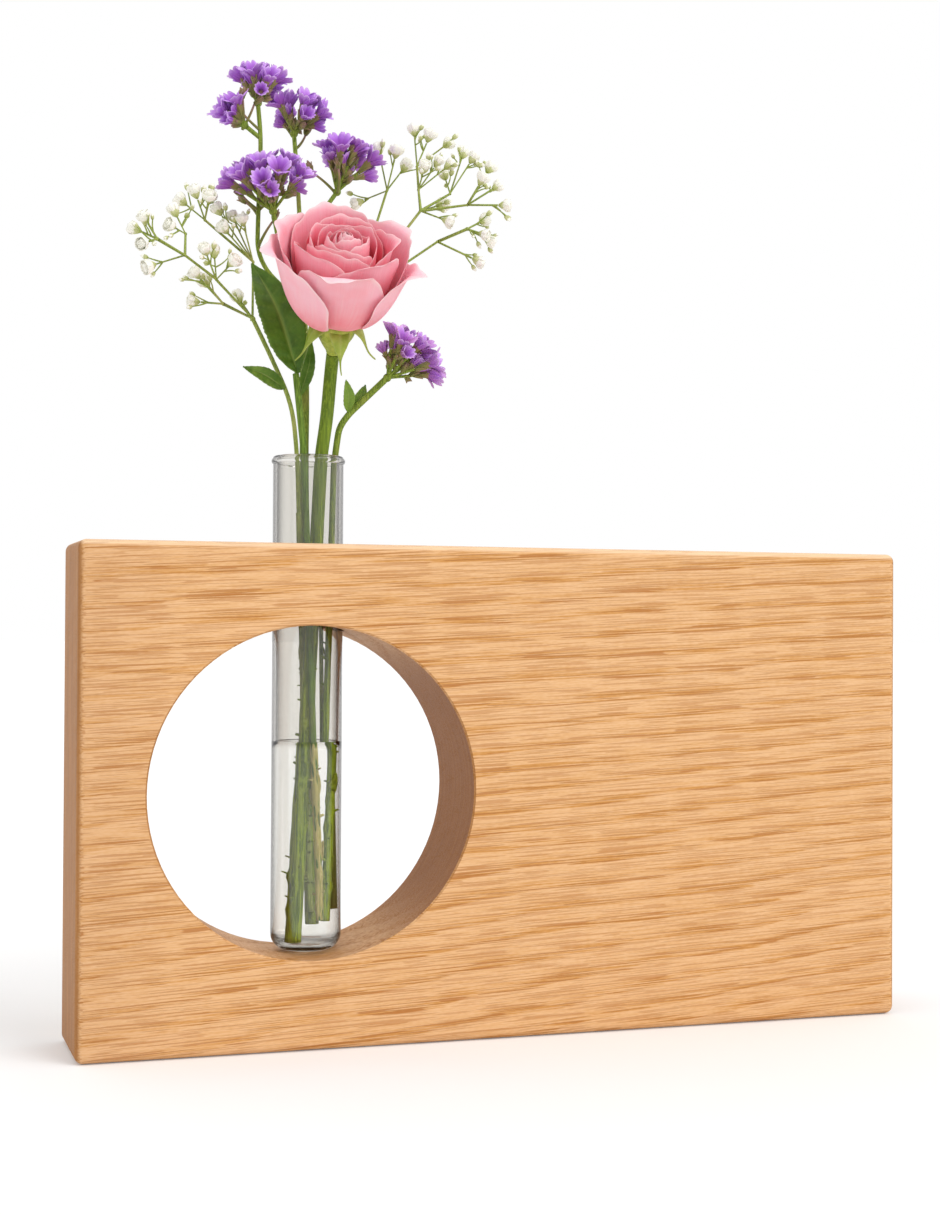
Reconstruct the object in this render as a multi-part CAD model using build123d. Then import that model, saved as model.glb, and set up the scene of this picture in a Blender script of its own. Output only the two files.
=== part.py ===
from build123d import *
from math import atan2, cos, degrees, radians, sin, sqrt, tan
import os

# Test tube vase: an upright oak board with a round cut-out, a glass tube that drops through
# a bore in the board's top edge and stands in the cut-out, and a bunch of cut flowers.
# Millimetres, +Z up, +X to the right seen from the front, front face towards -Y.
# The origin is the middle of the board's underside.

# Board
board_width = 264.0
board_depth = 37.0
board_height = 150.0
board_edge_radius = 2.5
cutout_radius = 49.6
cutout_from_left = 69.5
cutout_rise = 1.0  # the cut-out's centre stands this far above the middle of the board
cutout_edge_break = 0.5
bore_offset = 1.6  # the bore stands this far to the right of the cut-out's centre
bore_clearance = 0.5  # all round the tube
bore_edge_break = 0.6
cut_overrun = 3.0

# Tube
tube_diameter = 21.5
tube_length = 150.0
tube_wall = 1.2
tube_floor = 2.6
tube_corner_radius = 5.0
lip_swell = 0.5  # how far the lip's bead stands out from the wall
lip_height = 1.8
seat_clearance = 0.2  # between the tube and the cut-out's floor

# Stems in the tube, and the gaps that keep growing pieces apart
rose_stem_radius = 2.0
statice_stem_radius = 1.4
side_stem_radius = 1.0
spray_stem_radius = 0.9
leaf_stem_radius = 1.0
stem_gap = 0.3
joint_gap = 0.15  # between a stalk's end and what sits on it
rose_end_lift = 0.5  # lower ends of the stems above the tube's floor
leaf_stem_end_lift = 7.0
spray_end_lift = 9.0
side_end_lift = 6.0
statice_end_lift = 5.0
bend_share = 0.45  # of the shorter run that a bend's arc takes up

# Bunch above the tube's mouth: places are shares of this height, measured from the mouth's centre
bunch_height = 120.0

# Rose
bloom_radius = 21.0
heart_radius = 4.2
petal_count = 21
petal_turn = 137.5  # degrees from one petal to the next
petal_thickness_share = 0.5  # of the step from one petal to the next
petal_low_angle = -72.0  # degrees below the bloom's equator where petals join the receptacle
heart_top_angle = 68.0  # degrees above the equator where the innermost petal's cup ends
outer_top_angle = 16.0
petal_trim = 3.0  # degrees that a petal's rounded outline cuts into its lip
lip_curl_radius = 4.0
lip_curl_angle = 78.0  # degrees that an outermost petal's lip turns outwards
heart_rise = 6.0  # the heart stands this far above the outer petals' centre
receptacle_gap = 0.3  # between the receptacle and the petals' lower ends
heart_petal_count = 2
inner_petal_count = 6
middle_petal_count = 7
rose_lean = 40.0  # degrees that the bloom nods towards the front
rose_side_lean = -5.0
neck_length = 7.0  # last run of the stem, in line with the bloom
hip_length = 11.0
hip_waist_share = 0.62  # of the hip's length, where its cup is widest
sepal_count = 5
sepal_length = 13.0
sepal_width = 4.6
sepal_thickness = 0.6
sepal_bend_radius = 12.0
sepal_droop = 52.0  # degrees below the bloom's equator
sepal_turn = 36.0  # one sepal hangs straight to the front

# Leaves
leaf_thickness = 0.5
leaf_bend_share = 1.6  # bend radius against the leaf's length
leaf_widest_share = 0.42  # of the leaf's length from its base
large_leaf_width = 13.0
small_leaf_width = 4.8
stem_leaf_width = 4.0
side_leaf_width = 3.6

# Statice
floret_length = 8.6
floret_cup_radius = 2.9
floret_throat_radius = 1.1
floret_stalk_radius = 0.5
floret_wall = 0.4
floret_throat_share = 0.45
branchlet_radius = 0.45
branch_radius = 0.7
hub_radius = 1.3
spiral_turn = 137.5

# Gypsophila
blossom_radius = 2.3
blossom_foot_length = 2.0
blossom_foot_radius = 0.55
twig_radius = 0.32
spray_branch_radius = 0.5
fork_swell_share = 1.25  # a fork's knot against the thickest twig there

# Derived places
cutout_x = cutout_from_left - board_width / 2
cutout_centre_height = board_height / 2 + cutout_rise
tube_x = cutout_x + bore_offset
tube_radius = tube_diameter / 2
bore_radius = tube_radius + bore_clearance
inside_radius = tube_radius - tube_wall
# The tube's rounded corner touches the cut-out's round floor to the right of the tube's axis
corner_x = tube_radius - tube_corner_radius + bore_offset
corner_drop = sqrt((cutout_radius - tube_corner_radius) ** 2 - corner_x**2)
tube_base = cutout_centre_height - corner_drop - tube_corner_radius + seat_clearance
tube_mouth = tube_base + tube_length
floor_top = tube_base + tube_floor
mouth = Vector(tube_x, 0, tube_mouth)

# The stems stand in layers from front to back, so that they cross without touching
rose_layer_share = -0.335
rose_layer = rose_layer_share * inside_radius
leaf_layer = rose_layer - rose_stem_radius - stem_gap - leaf_stem_radius
thin_radius = max(side_stem_radius, spray_stem_radius)
middle_layer = rose_layer + rose_stem_radius + stem_gap + thin_radius
back_layer = middle_layer + thin_radius + stem_gap + statice_stem_radius

# Where the stems stand in the tube, as shares of its inside radius to the right: at the foot, at the mouth
stem_foot_shares = {"rose": -0.42, "leaf": 0.26, "statice": 0.21, "side": 0.47, "left": 0.1, "right": 0.66}
side_rim_share = 1 - (side_stem_radius + stem_gap) / inside_radius  # it leans on the tube's wall
stem_rim_shares = {
    "rose": 0.33,
    "leaf": -0.3,
    "statice": -0.08,
    "side": side_rim_share,
    "left": -0.36,
    "right": 0.45,
}
stem_layers = {
    "rose": rose_layer,
    "leaf": leaf_layer,
    "statice": back_layer,
    "side": middle_layer,
    "left": middle_layer,
    "right": back_layer,
}

# Hand-chosen shares of the bunch's height: right, back, up from the mouth's centre
rose_bend_share = (0.04, -0.028, 0.092)
rose_hip_share = (0.052, -0.042, 0.26)
leaf_stem_shares = [(-0.033, -0.05, 0.09), (-0.042, -0.035, 0.205)]
large_leaf_tip_share = (-0.143, 0.04, 0.485)
small_leaf_base_share = (-0.069, 0.021, 0.178)
small_leaf_tip_share = (-0.178, -0.02, 0.219)
stem_leaf_base_share = (-0.013, 0.049, 0.166)
stem_leaf_tip_share = (0.012, 0.035, 0.305)
side_stem_shares = [(0.078, -0.008, 0.076), (0.099, -0.017, 0.109), (0.195, -0.042, 0.205)]
side_leaf_tip_shares = [(0.083, -0.05, 0.195), (0.152, 0.02, 0.19)]
statice_stem_shares = [(0.003, 0.055, 0.15), (0.006, 0.1, 0.4)]
# Each branch of the tall statice: the bends on its way and its head's hub
statice_branch_shares = {
    "top": [(-0.116, 0.1, 0.508), (-0.108, 0.125, 0.644), (-0.098, 0.146, 0.84), (-0.106, 0.15, 0.934)],
    "left": [(-0.143, 0.14, 0.87)],
    "middle": [(0.009, 0.167, 0.692), (0.002, 0.2, 0.875)],
    "right": [(0.04, 0.15, 0.62), (0.112, 0.167, 0.721)],
    "large": [(-0.058, 0.08, 0.53), (-0.086, 0.045, 0.63)],
}
statice_branch_from = {"left": ("top", 2)}
# Each head: which way it opens, how many florets, its reach and its half-opening in degrees
head_axes = {
    "top": (0.05, -0.1, 1.0),
    "left": (-0.75, -0.1, 0.7),
    "middle": (0.2, 0.0, 1.0),
    "right": (0.3, 0.05, 1.0),
    "large": (-0.18, -0.3, 1.0),
    "side": (0.62, -0.12, 0.8),
}
head_floret_count = {"top": 6, "left": 3, "middle": 7, "right": 8, "large": 12, "side": 9}
head_reaches = {"top": 12.8, "left": 10.5, "middle": 13.5, "right": 17.5, "large": 18.0, "side": 17.5}
head_opening_angle = {"top": 52.0, "left": 38.0, "middle": 52.0, "right": 42.0, "large": 54.0, "side": 48.0}

# Gypsophila: forks as (the fork it grows from, place) and blossoms as (fork, place)
left_stem_shares = [(-0.039, 0.021, 0.136), (-0.092, 0.042, 0.261), (-0.136, 0.05, 0.352)]
left_fork_shares = [
    (None, (-0.136, 0.05, 0.352)),
    (0, (-0.238, 0.008, 0.439)),
    (1, (-0.325, -0.033, 0.487)),
    (2, (-0.399, -0.067, 0.516)),
    (2, (-0.318, 0.0, 0.547)),
    (0, (-0.131, 0.075, 0.503)),
    (5, (-0.262, 0.042, 0.594)),
    (0, (-0.204, 0.092, 0.393)),
]
left_blossom_shares = [
    (3, (-0.432, -0.083, 0.562)),
    (3, (-0.447, -0.042, 0.541)),
    (3, (-0.437, -0.108, 0.496)),
    (2, (-0.413, -0.055, 0.451)),
    (4, (-0.343, 0.017, 0.604)),
    (4, (-0.358, -0.025, 0.56)),
    (6, (-0.314, 0.075, 0.644)),
    (6, (-0.29, 0.025, 0.657)),
    (6, (-0.262, -0.008, 0.64)),
    (6, (-0.235, 0.125, 0.67)),
    (5, (-0.216, 0.108, 0.635)),
    (5, (-0.214, 0.03, 0.572)),
    (5, (-0.176, 0.117, 0.622)),
    (5, (-0.165, 0.045, 0.6)),
    (1, (-0.276, -0.042, 0.5)),
    (1, (-0.238, 0.042, 0.511)),
    (7, (-0.279, 0.075, 0.462)),
    (7, (-0.242, 0.133, 0.451)),
    (7, (-0.278, 0.1, 0.396)),
    (0, (-0.165, 0.09, 0.41)),
    (1, (-0.205, -0.033, 0.477)),
]
right_stem_shares = [(0.077, 0.067, 0.229), (0.142, 0.117, 0.428)]
right_fork_shares = [
    (None, (0.142, 0.117, 0.428)),
    (0, (0.334, 0.133, 0.68)),
    (1, (0.33, 0.142, 0.738)),
    (2, (0.33, 0.158, 0.804)),
    (0, (0.261, 0.208, 0.745)),
    (0, (0.366, 0.083, 0.59)),
    (5, (0.443, 0.067, 0.626)),
    (1, (0.452, 0.092, 0.696)),
    (1, (0.421, 0.15, 0.736)),
]
right_blossom_shares = [
    (3, (0.329, 0.183, 0.905)),
    (3, (0.359, 0.142, 0.882)),
    (3, (0.422, 0.183, 0.878)),
    (2, (0.373, 0.108, 0.807)),
    (2, (0.418, 0.158, 0.813)),
    (8, (0.473, 0.2, 0.858)),
    (8, (0.482, 0.142, 0.834)),
    (8, (0.421, 0.2, 0.795)),
    (7, (0.526, 0.125, 0.806)),
    (7, (0.483, 0.067, 0.758)),
    (7, (0.539, 0.108, 0.755)),
    (7, (0.544, 0.058, 0.695)),
    (6, (0.496, 0.092, 0.657)),
    (6, (0.478, 0.033, 0.608)),
    (6, (0.506, 0.065, 0.6)),
    (5, (0.467, 0.05, 0.54)),
    (1, (0.4, 0.108, 0.653)),
    (1, (0.403, 0.183, 0.711)),
    (4, (0.242, 0.225, 0.856)),
    (4, (0.279, 0.183, 0.842)),
    (4, (0.317, 0.233, 0.818)),
    (2, (0.333, 0.1, 0.786)),
    (4, (0.19, 0.24, 0.715)),
]


def bunch_place(share):
    """A point of the bunch, from its shares of the bunch's height."""
    return mouth + Vector(*share) * bunch_height


def tube_run(plant, end_lift):
    """A stem's foot in the tube and the point where it leaves the mouth."""
    foot_x = tube_x + stem_foot_shares[plant] * inside_radius
    rim_x = tube_x + stem_rim_shares[plant] * inside_radius
    layer = stem_layers[plant]
    return [Vector(foot_x, layer, floor_top + end_lift), Vector(rim_x, layer, tube_mouth)]


def stem_points(plant, end_lift, shares):
    """A stem's points from its foot in the tube to its upper end."""
    return tube_run(plant, end_lift) + [bunch_place(share) for share in shares]


def save(node, shape):
    export_step(shape, f"parts/{node}.step")


def bent_path(points):
    """Straight runs joined by tangent arcs, each as large as its two runs allow."""
    points = [Vector(*point) for point in points]
    radii = []
    for before, here, after in zip(points, points[1:], points[2:]):
        turn = (here - before).get_angle(after - here)
        shorter = min((here - before).length, (after - here).length)
        radii.append(bend_share * shorter / tan(radians(turn / 2)))
    if not radii:
        return Line(points[0], points[1])
    return FilletPolyline(*points, radius=radii)


def stem(points, radius):
    """A round stem along its points."""
    path = bent_path(points)
    return sweep(Plane(origin=path @ 0, z_dir=path % 0) * Circle(radius), path=path)


def rod(start, end, radius):
    """A straight round twig from one point to another."""
    along = end - start
    upright = Cylinder(radius, along.length, align=(Align.CENTER, Align.CENTER, Align.MIN))
    return Plane(origin=start, z_dir=along) * upright


def knot(place, radius):
    return Pos(*place) * Sphere(radius)


def joined(shapes):
    """One solid from shapes that grow together."""
    return shapes[0].fuse(*shapes[1:])


def leaf(length, width, bend_radius, thickness):
    """A lance-shaped leaf along +Y, arched up towards +Z, with its base and tip on the Y axis."""
    widest = (width / 2, leaf_widest_share * length)
    widest_left = (-width / 2, leaf_widest_share * length)
    outline = make_face(
        [
            TangentArc(widest, (0, 0), tangent=(0, -1)),
            TangentArc(widest, (0, length), tangent=(0, 1)),
            TangentArc(widest_left, (0, length), tangent=(0, 1)),
            TangentArc(widest_left, (0, 0), tangent=(0, -1)),
        ]
    )
    depth = sqrt(bend_radius**2 - (length / 2) ** 2)
    rise = bend_radius - depth
    slab = extrude(Pos(0, 0, -thickness) * outline, amount=rise + 2 * thickness)
    arch = Cylinder(bend_radius + thickness / 2, 2 * width)
    arch = arch - Cylinder(bend_radius - thickness / 2, 2 * width)
    return slab & (Pos(0, length / 2, -depth) * Rot(0, 90, 0) * arch)


def leaf_between(base, tip, width, facing):
    """A leaf from its base to its tip, with its upper side towards the facing direction."""
    along = tip - base
    side = along.cross(facing)
    blade = leaf(along.length, width, leaf_bend_share * along.length, leaf_thickness)
    return Plane(origin=base, x_dir=side, z_dir=side.cross(along)) * blade


# Board
def oak_board():
    block = Pos(0, 0, board_height / 2) * Box(board_width, board_depth, board_height)
    block = fillet(block.edges(), board_edge_radius)
    cut_length = board_depth + cut_overrun
    cutout = Pos(cutout_x, 0, cutout_centre_height) * Rot(90, 0, 0) * Cylinder(cutout_radius, cut_length)
    bore_depth = board_height - cutout_centre_height
    upright = Cylinder(bore_radius, bore_depth + cut_overrun, align=(Align.CENTER, Align.CENTER, Align.MIN))
    block = block - cutout
    rims = [e for e in block.edges() if e.geom_type == GeomType.CIRCLE and e.radius > cutout_radius / 2]
    block = chamfer(rims, cutout_edge_break)
    block = block - Pos(tube_x, 0, cutout_centre_height) * upright
    tops = block.edges().filter_by(GeomType.CIRCLE).group_by(Axis.Z)[-1]
    return chamfer(tops, bore_edge_break)


# Tube
def test_tube():
    flat = tube_radius - tube_corner_radius
    inner_corner = tube_corner_radius - tube_wall
    lip_top = tube_length - tube_wall / 2
    lip_low = lip_top - lip_height
    profile = make_face(
        [
            Line((0, 0), (flat, 0)),
            CenterArc((flat, tube_corner_radius), tube_corner_radius, -90, 90),
            Line((tube_radius, tube_corner_radius), (tube_radius, lip_low)),
            ThreePointArc(
                (tube_radius, lip_low),
                (tube_radius + lip_swell, (lip_low + lip_top) / 2),
                (tube_radius, lip_top),
            ),
            CenterArc((tube_radius - tube_wall / 2, lip_top), tube_wall / 2, 0, 180),
            Line((inside_radius, lip_top), (inside_radius, tube_floor + inner_corner)),
            CenterArc((inside_radius - inner_corner, tube_floor + inner_corner), inner_corner, -90, 90),
            Line((inside_radius - inner_corner, tube_floor), (0, tube_floor)),
            Line((0, tube_floor), (0, 0)),
        ]
    )
    return Pos(tube_x, 0, tube_base) * revolve(Plane.XZ * profile, axis=Axis.Z)


# Rose
petal_step = (bloom_radius - heart_radius) / (petal_count - 1)
petal_thickness = petal_thickness_share * petal_step
low_depth = sin(radians(-petal_low_angle))
low_width = cos(radians(petal_low_angle))
hip_depth = bloom_radius * low_depth
hip_radius = bloom_radius * low_width
hip_base = bunch_place(rose_hip_share)
bloom_axis = Vector(0, 0, 1).rotate(Axis.X, rose_lean).rotate(Axis.Y, rose_side_lean)
bloom_centre = hip_base + bloom_axis * (joint_gap + hip_length + hip_depth)
bloom_plane = Plane(origin=bloom_centre, x_dir=(1, 0, 0), z_dir=bloom_axis)


def rose_stem():
    neck = hip_base - bloom_axis * neck_length
    points = stem_points("rose", rose_end_lift, [rose_bend_share])
    return stem(points + [neck, hip_base], rose_stem_radius)


def rose_calyx():
    """The hip, its sepals and the receptacle that the petals grow from, about the bloom's centre."""
    waist = hip_waist_share * hip_length
    low = -hip_depth - hip_length
    profile = make_face(
        [
            Line((0, low), (rose_stem_radius, low)),
            TangentArc((hip_radius, low + waist), (rose_stem_radius, low), tangent=(0, -1)),
            Line((hip_radius, low + waist), (hip_radius, -hip_depth)),
            Line((hip_radius, -hip_depth), (0, -hip_depth)),
            Line((0, -hip_depth), (0, low)),
        ]
    )
    hip = revolve(Plane.XZ * profile, axis=Axis.Z)
    cone_top = heart_rise - heart_radius
    cone = Cone(
        hip_radius - receptacle_gap,
        heart_radius * low_width - receptacle_gap,
        cone_top + hip_depth,
        align=(Align.CENTER, Align.CENTER, Align.MIN),
    )
    cone = Pos(0, 0, -hip_depth) * cone
    sepal = leaf(sepal_length, sepal_width, sepal_bend_radius, sepal_thickness)
    root = Pos(0, hip_radius - sepal_width / 2, -hip_depth - sepal_thickness)
    sepal = root * Rot(-sepal_droop, 0, 0) * sepal
    sepals = [Rot(0, 0, sepal_turn + turn * 360 / sepal_count) * sepal for turn in range(sepal_count)]
    return bloom_plane * joined([hip, cone] + sepals)


def petal(index):
    """A cupped petal on its own shell about the bloom's axis, with its lip curled outwards."""
    outward = index / (petal_count - 1)
    inside = heart_radius + petal_step * index
    outside = inside + petal_thickness
    low = petal_low_angle
    top = heart_top_angle + outward * (outer_top_angle - heart_top_angle)
    curl = outward * lip_curl_angle
    cup_inside = CenterArc((0, 0), inside, low, top - low)
    cup_outside = CenterArc((0, 0), outside, low, top - low)
    edges = [cup_inside, cup_outside, Line(cup_inside @ 0, cup_outside @ 0)]
    tip = cup_outside @ 1
    if curl:
        curl_centre = tip.normalized() * (outside + lip_curl_radius)
        lip_inside = CenterArc(curl_centre, lip_curl_radius + petal_thickness, top + 180, -curl)
        lip_outside = CenterArc(curl_centre, lip_curl_radius, top + 180, -curl)
        tip = lip_outside @ 1
        edges += [lip_inside, lip_outside, Line(lip_inside @ 1, tip)]
    else:
        edges.append(Line(cup_inside @ 1, tip))
    shell = revolve(Rot(0, 0, -90) * (Plane.XZ * make_face(edges)), axis=Axis.Z, revolution_arc=180)
    half_span = (degrees(atan2(tip.Y, tip.X)) - low) / 2
    reach = tip.length + cut_overrun
    rounding = Cone(0, reach * tan(radians(half_span)), reach, align=(Align.CENTER, Align.CENTER, Align.MIN))
    blade = shell & (Rot(0, 90 - low - half_span + petal_trim, 0) * rounding)
    return Pos(0, 0, heart_rise * (1 - outward)) * Rot(0, 0, index * petal_turn) * blade


def petals(first, count):
    return Compound(children=[bloom_plane * petal(index) for index in range(first, first + count)])


def rose_heart():
    return bloom_plane * (Pos(0, 0, heart_rise) * Sphere(heart_radius - joint_gap))


# Statice
def head_directions(head):
    """Evenly spread directions about a head's axis."""
    axis = Vector(*head_axes[head]).normalized()
    plane = Plane(origin=(0, 0, 0), z_dir=axis)
    count = head_floret_count[head]
    cap = 1 - cos(radians(head_opening_angle[head]))
    directions = []
    for index in range(count):
        height = 1 - cap * (2 * index + 1) / (2 * count)
        width = sqrt(1 - height**2)
        turn = radians(index * spiral_turn)
        directions.append(plane.from_local_coords(Vector(width * cos(turn), width * sin(turn), height)))
    return directions


def branchlets(head, hub):
    """The twigs that carry a head's florets, and the knot that they fork from."""
    reach = head_reaches[head] - floret_length
    twigs = [rod(hub, hub + way * reach, branchlet_radius) for way in head_directions(head)]
    return [knot(hub, hub_radius)] + twigs


def floret():
    """A papery funnel that opens upwards from a thin stalk."""
    throat = floret_throat_share * floret_length
    profile = make_face(
        Polyline(
            (0, 0),
            (floret_stalk_radius, 0),
            (floret_throat_radius, throat),
            (floret_cup_radius, floret_length),
            (floret_cup_radius - floret_wall, floret_length),
            (0, throat),
            (0, 0),
        )
    )
    return revolve(Plane.XZ * profile, axis=Axis.Z)


def florets(head, hub):
    funnel = floret()
    start = head_reaches[head] - floret_length + joint_gap
    ways = head_directions(head)
    return Compound(children=[Plane(origin=hub + way * start, z_dir=way) * funnel for way in ways])


# Gypsophila
def blossom():
    """A double blossom: a narrow foot that widens to a cup, and a domed top."""
    top = blossom_foot_length + blossom_radius
    profile = make_face(
        [
            Line((0, 0), (blossom_foot_radius, 0)),
            Line((blossom_foot_radius, 0), (blossom_radius, blossom_foot_length)),
            CenterArc((0, blossom_foot_length), blossom_radius, 0, 90),
            Line((0, top), (0, 0)),
        ]
    )
    return revolve(Plane.XZ * profile, axis=Axis.Z)


def spray(points, fork_shares, blossom_shares):
    """A spray's stem with its twigs, and the blossoms on their ends."""
    forks = [bunch_place(place) for _, place in fork_shares]
    wood = [stem(points, spray_stem_radius)]
    for fork, (parent, _) in zip(forks, fork_shares):
        thickest = spray_stem_radius if parent is None else spray_branch_radius
        wood.append(knot(fork, fork_swell_share * thickest))
        if parent is not None:
            wood.append(rod(forks[parent], fork, spray_branch_radius))
    flower = blossom()
    flowers = []
    for parent, place in blossom_shares:
        along = bunch_place(place) - forks[parent]
        foot = forks[parent] + along * (1 - blossom_foot_length / along.length)
        wood.append(rod(forks[parent], foot, twig_radius))
        way = along.normalized()
        flowers.append(Plane(origin=foot + way * joint_gap, z_dir=way) * flower)
    return joined(wood), Compound(children=flowers)


os.makedirs("parts", exist_ok=True)

save("oak_board", oak_board())
save("test_tube", test_tube())

save("rose_stem", rose_stem())
save("rose_calyx", rose_calyx())
outer_first = heart_petal_count + inner_petal_count + middle_petal_count
save("rose_outer_petals", petals(outer_first, petal_count - outer_first))
save("rose_middle_petals", petals(heart_petal_count + inner_petal_count, middle_petal_count))
save("rose_inner_petals", petals(0, heart_petal_count + inner_petal_count))
save("rose_heart", rose_heart())

leaf_points = stem_points("leaf", leaf_stem_end_lift, leaf_stem_shares)
save("leaf_stem", stem(leaf_points, leaf_stem_radius))
petiole = (leaf_points[-1] - leaf_points[-2]).normalized()
front = Vector(0, -1, 0)
large_base = leaf_points[-1] + petiole * (joint_gap + leaf_thickness)
save("large_leaf", leaf_between(large_base, bunch_place(large_leaf_tip_share), large_leaf_width, front))
small_leaves = []
for base_share, tip_share, width in (
    (small_leaf_base_share, small_leaf_tip_share, small_leaf_width),
    (stem_leaf_base_share, stem_leaf_tip_share, stem_leaf_width),
):
    small_leaves.append(leaf_between(bunch_place(base_share), bunch_place(tip_share), width, front))
save("small_leaves", Compound(children=small_leaves))

# Tall statice: one stem, its branches and their heads
statice_points = stem_points("statice", statice_end_lift, statice_stem_shares)
statice_knot = knot(statice_points[-1], statice_stem_radius * fork_swell_share)
statice_wood = [stem(statice_points, statice_stem_radius), statice_knot]
for head, shares in statice_branch_shares.items():
    start = statice_points[-1]
    if head in statice_branch_from:
        carrier, bend = statice_branch_from[head]
        start = bunch_place(statice_branch_shares[carrier][bend])
    ways = [start] + [bunch_place(share) for share in shares]
    statice_wood.append(stem(ways, branch_radius))
    statice_wood += branchlets(head, ways[-1])
    save(f"statice_{head}_florets", florets(head, ways[-1]))
save("statice_tall_stem", joined(statice_wood))

# Side statice
side_points = stem_points("side", side_end_lift, side_stem_shares)
side_stem = stem(side_points, side_stem_radius)
save("statice_side_stem", joined([side_stem] + branchlets("side", side_points[-1])))
save("statice_side_florets", florets("side", side_points[-1]))
side_leaves = []
for tip_share in side_leaf_tip_shares:
    tip = bunch_place(tip_share)
    away = (tip - side_points[-2]).normalized()
    base = side_points[-2] + away * (side_stem_radius + stem_gap + 2 * leaf_thickness)
    side_leaves.append(leaf_between(base, tip, side_leaf_width, front))
save("statice_side_leaves", Compound(children=side_leaves))

# Gypsophila sprays
for side, shares, forks, blossoms in (
    ("left", left_stem_shares, left_fork_shares, left_blossom_shares),
    ("right", right_stem_shares, right_fork_shares, right_blossom_shares),
):
    twigs, flowers = spray(stem_points(side, spray_end_lift, shares), forks, blossoms)
    save(f"gypsophila_{side}_stem", twigs)
    save(f"gypsophila_{side}_blossoms", flowers)
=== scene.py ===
import math
import random

import bmesh
import bpy
import numpy as np
from mathutils import Matrix, Vector
from mathutils.bvhtree import BVHTree


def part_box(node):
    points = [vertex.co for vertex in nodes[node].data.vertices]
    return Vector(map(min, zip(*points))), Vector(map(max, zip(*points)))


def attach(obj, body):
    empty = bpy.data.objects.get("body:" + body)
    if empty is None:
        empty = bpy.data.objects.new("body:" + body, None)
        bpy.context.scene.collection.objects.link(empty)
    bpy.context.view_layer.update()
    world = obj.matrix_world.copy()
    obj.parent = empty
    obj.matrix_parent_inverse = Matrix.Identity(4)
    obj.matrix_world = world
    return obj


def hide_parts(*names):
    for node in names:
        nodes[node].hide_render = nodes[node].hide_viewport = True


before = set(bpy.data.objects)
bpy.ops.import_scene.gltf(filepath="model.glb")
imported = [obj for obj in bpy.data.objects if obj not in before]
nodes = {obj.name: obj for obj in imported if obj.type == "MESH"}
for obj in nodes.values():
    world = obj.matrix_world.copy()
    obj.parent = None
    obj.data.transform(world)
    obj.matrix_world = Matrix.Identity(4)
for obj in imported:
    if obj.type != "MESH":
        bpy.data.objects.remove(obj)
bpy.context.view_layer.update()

# Lengths in the shapes below are millimetres, and each mesh is scaled to metres as it is made.
METRE = 1000.0
FULL_TURN = 2 * math.pi
rng = random.Random(7)
uniform = rng.uniform

# Camera, fitted to the board's outline
focal_px = 1915.46
image_height_px = 1215
sensor_mm = 36.0
camera_place = (-0.19506, -0.57156, 0.12406)
camera_turn = (-18.0596, 0.7157, -0.3058)  # degrees: yaw, pitch, roll

# Light
sky_level = 0.91
sun_strength = 1.06
sun_angle = 0.7  # radians across, for a soft shadow
sun_from = (0.5, -0.68, 0.72)
floor_tone = 0.86
floor_glow = 0.13  # lifts the floor to white where the camera, a reflection or glass sees it
floor_reach = 20.0  # metres
floor_drop = 0.0002  # metres

# Oak
band_pitch = 6.6
board_height = 150.0
board_half_width = 132.0
band_fade = (-70.0, -120.0)  # along the board, where its bands grow fainter to the left
painted_shade_fade = (-92.0, -128.0)  # where painted shade darkens its left end, as if less light reached it
pore_fade = (110.0, -110.0)  # where its pore lines grow stronger to the left

# Tube and water
tube_width = 21.5
tube_wall = 1.2
tube_floor = 2.6
tube_corner = 5.0
glass_ior = 1.5
glass_density = 60.0
glass_fade = (27.0, 33.0)  # heights between which its painted dark edges grow in, up from the foot
water_ior = 1.333
water_density = 4.0
water_overlap = 0.12  # the water reaches this far into the glass, so no air film shows
water_level = 90.4
water_sides = 96
meniscus_rise = 0.12
meniscus_reach = 0.5

# Stems: light, deep and knot colours, width of the streaks, least roughness
stem_tones = {
    "rose_stem_green": ((0.21, 0.3, 0.02), (0.095, 0.155, 0.009), (0.21, 0.23, 0.03), 0.5, 0.42),
    "leaf_stem_green": ((0.19, 0.31, 0.035), (0.07, 0.13, 0.01), (0.22, 0.24, 0.06), 0.35, 0.42),
    "statice_stem_green": ((0.3, 0.4, 0.05), (0.1, 0.16, 0.014), (0.34, 0.27, 0.08), 0.3, 0.45),
    "twig_green": ((0.4, 0.46, 0.11), (0.19, 0.26, 0.04), (0.5, 0.46, 0.17), 0.25, 0.45),
    # Painted light: a brighter copy of the stem greens for the skins inside the tube, making up for light
    # the glass and water take.
    "fresh_stem": ((0.4, 0.52, 0.03), (0.1, 0.17, 0.004), (0.34, 0.38, 0.05), 0.6, 0.35),
    "pale_stem": ((0.74, 0.62, 0.24), (0.42, 0.38, 0.08), (0.5, 0.47, 0.14), 0.4, 0.4),
    "hip_green": ((0.5, 0.56, 0.1), (0.32, 0.41, 0.05), (0.46, 0.45, 0.12), 1.2, 0.36),
}
neck_widest = 2.5  # largest radius of the rose stem's upper end
cut_widest = 4.0  # largest radius of a stem's cut end
stalk_widest = 1.0  # largest radius of the end that a flower sits on
flat_enough = 0.9999  # least flatness of such an end
clear_radius = 9.2  # stays clear of the glass
skin_top = 160.0
skin_sides = 24
skin_rows = 110
knot_spacing = 24.0
bristle_spacing = 4.5
remnant_heights = (0.3, 0.62, 0.68)  # as shares of a skin's length
remnant_size = (7.5, 2.4, 2.2)  # length, width and lean

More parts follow.
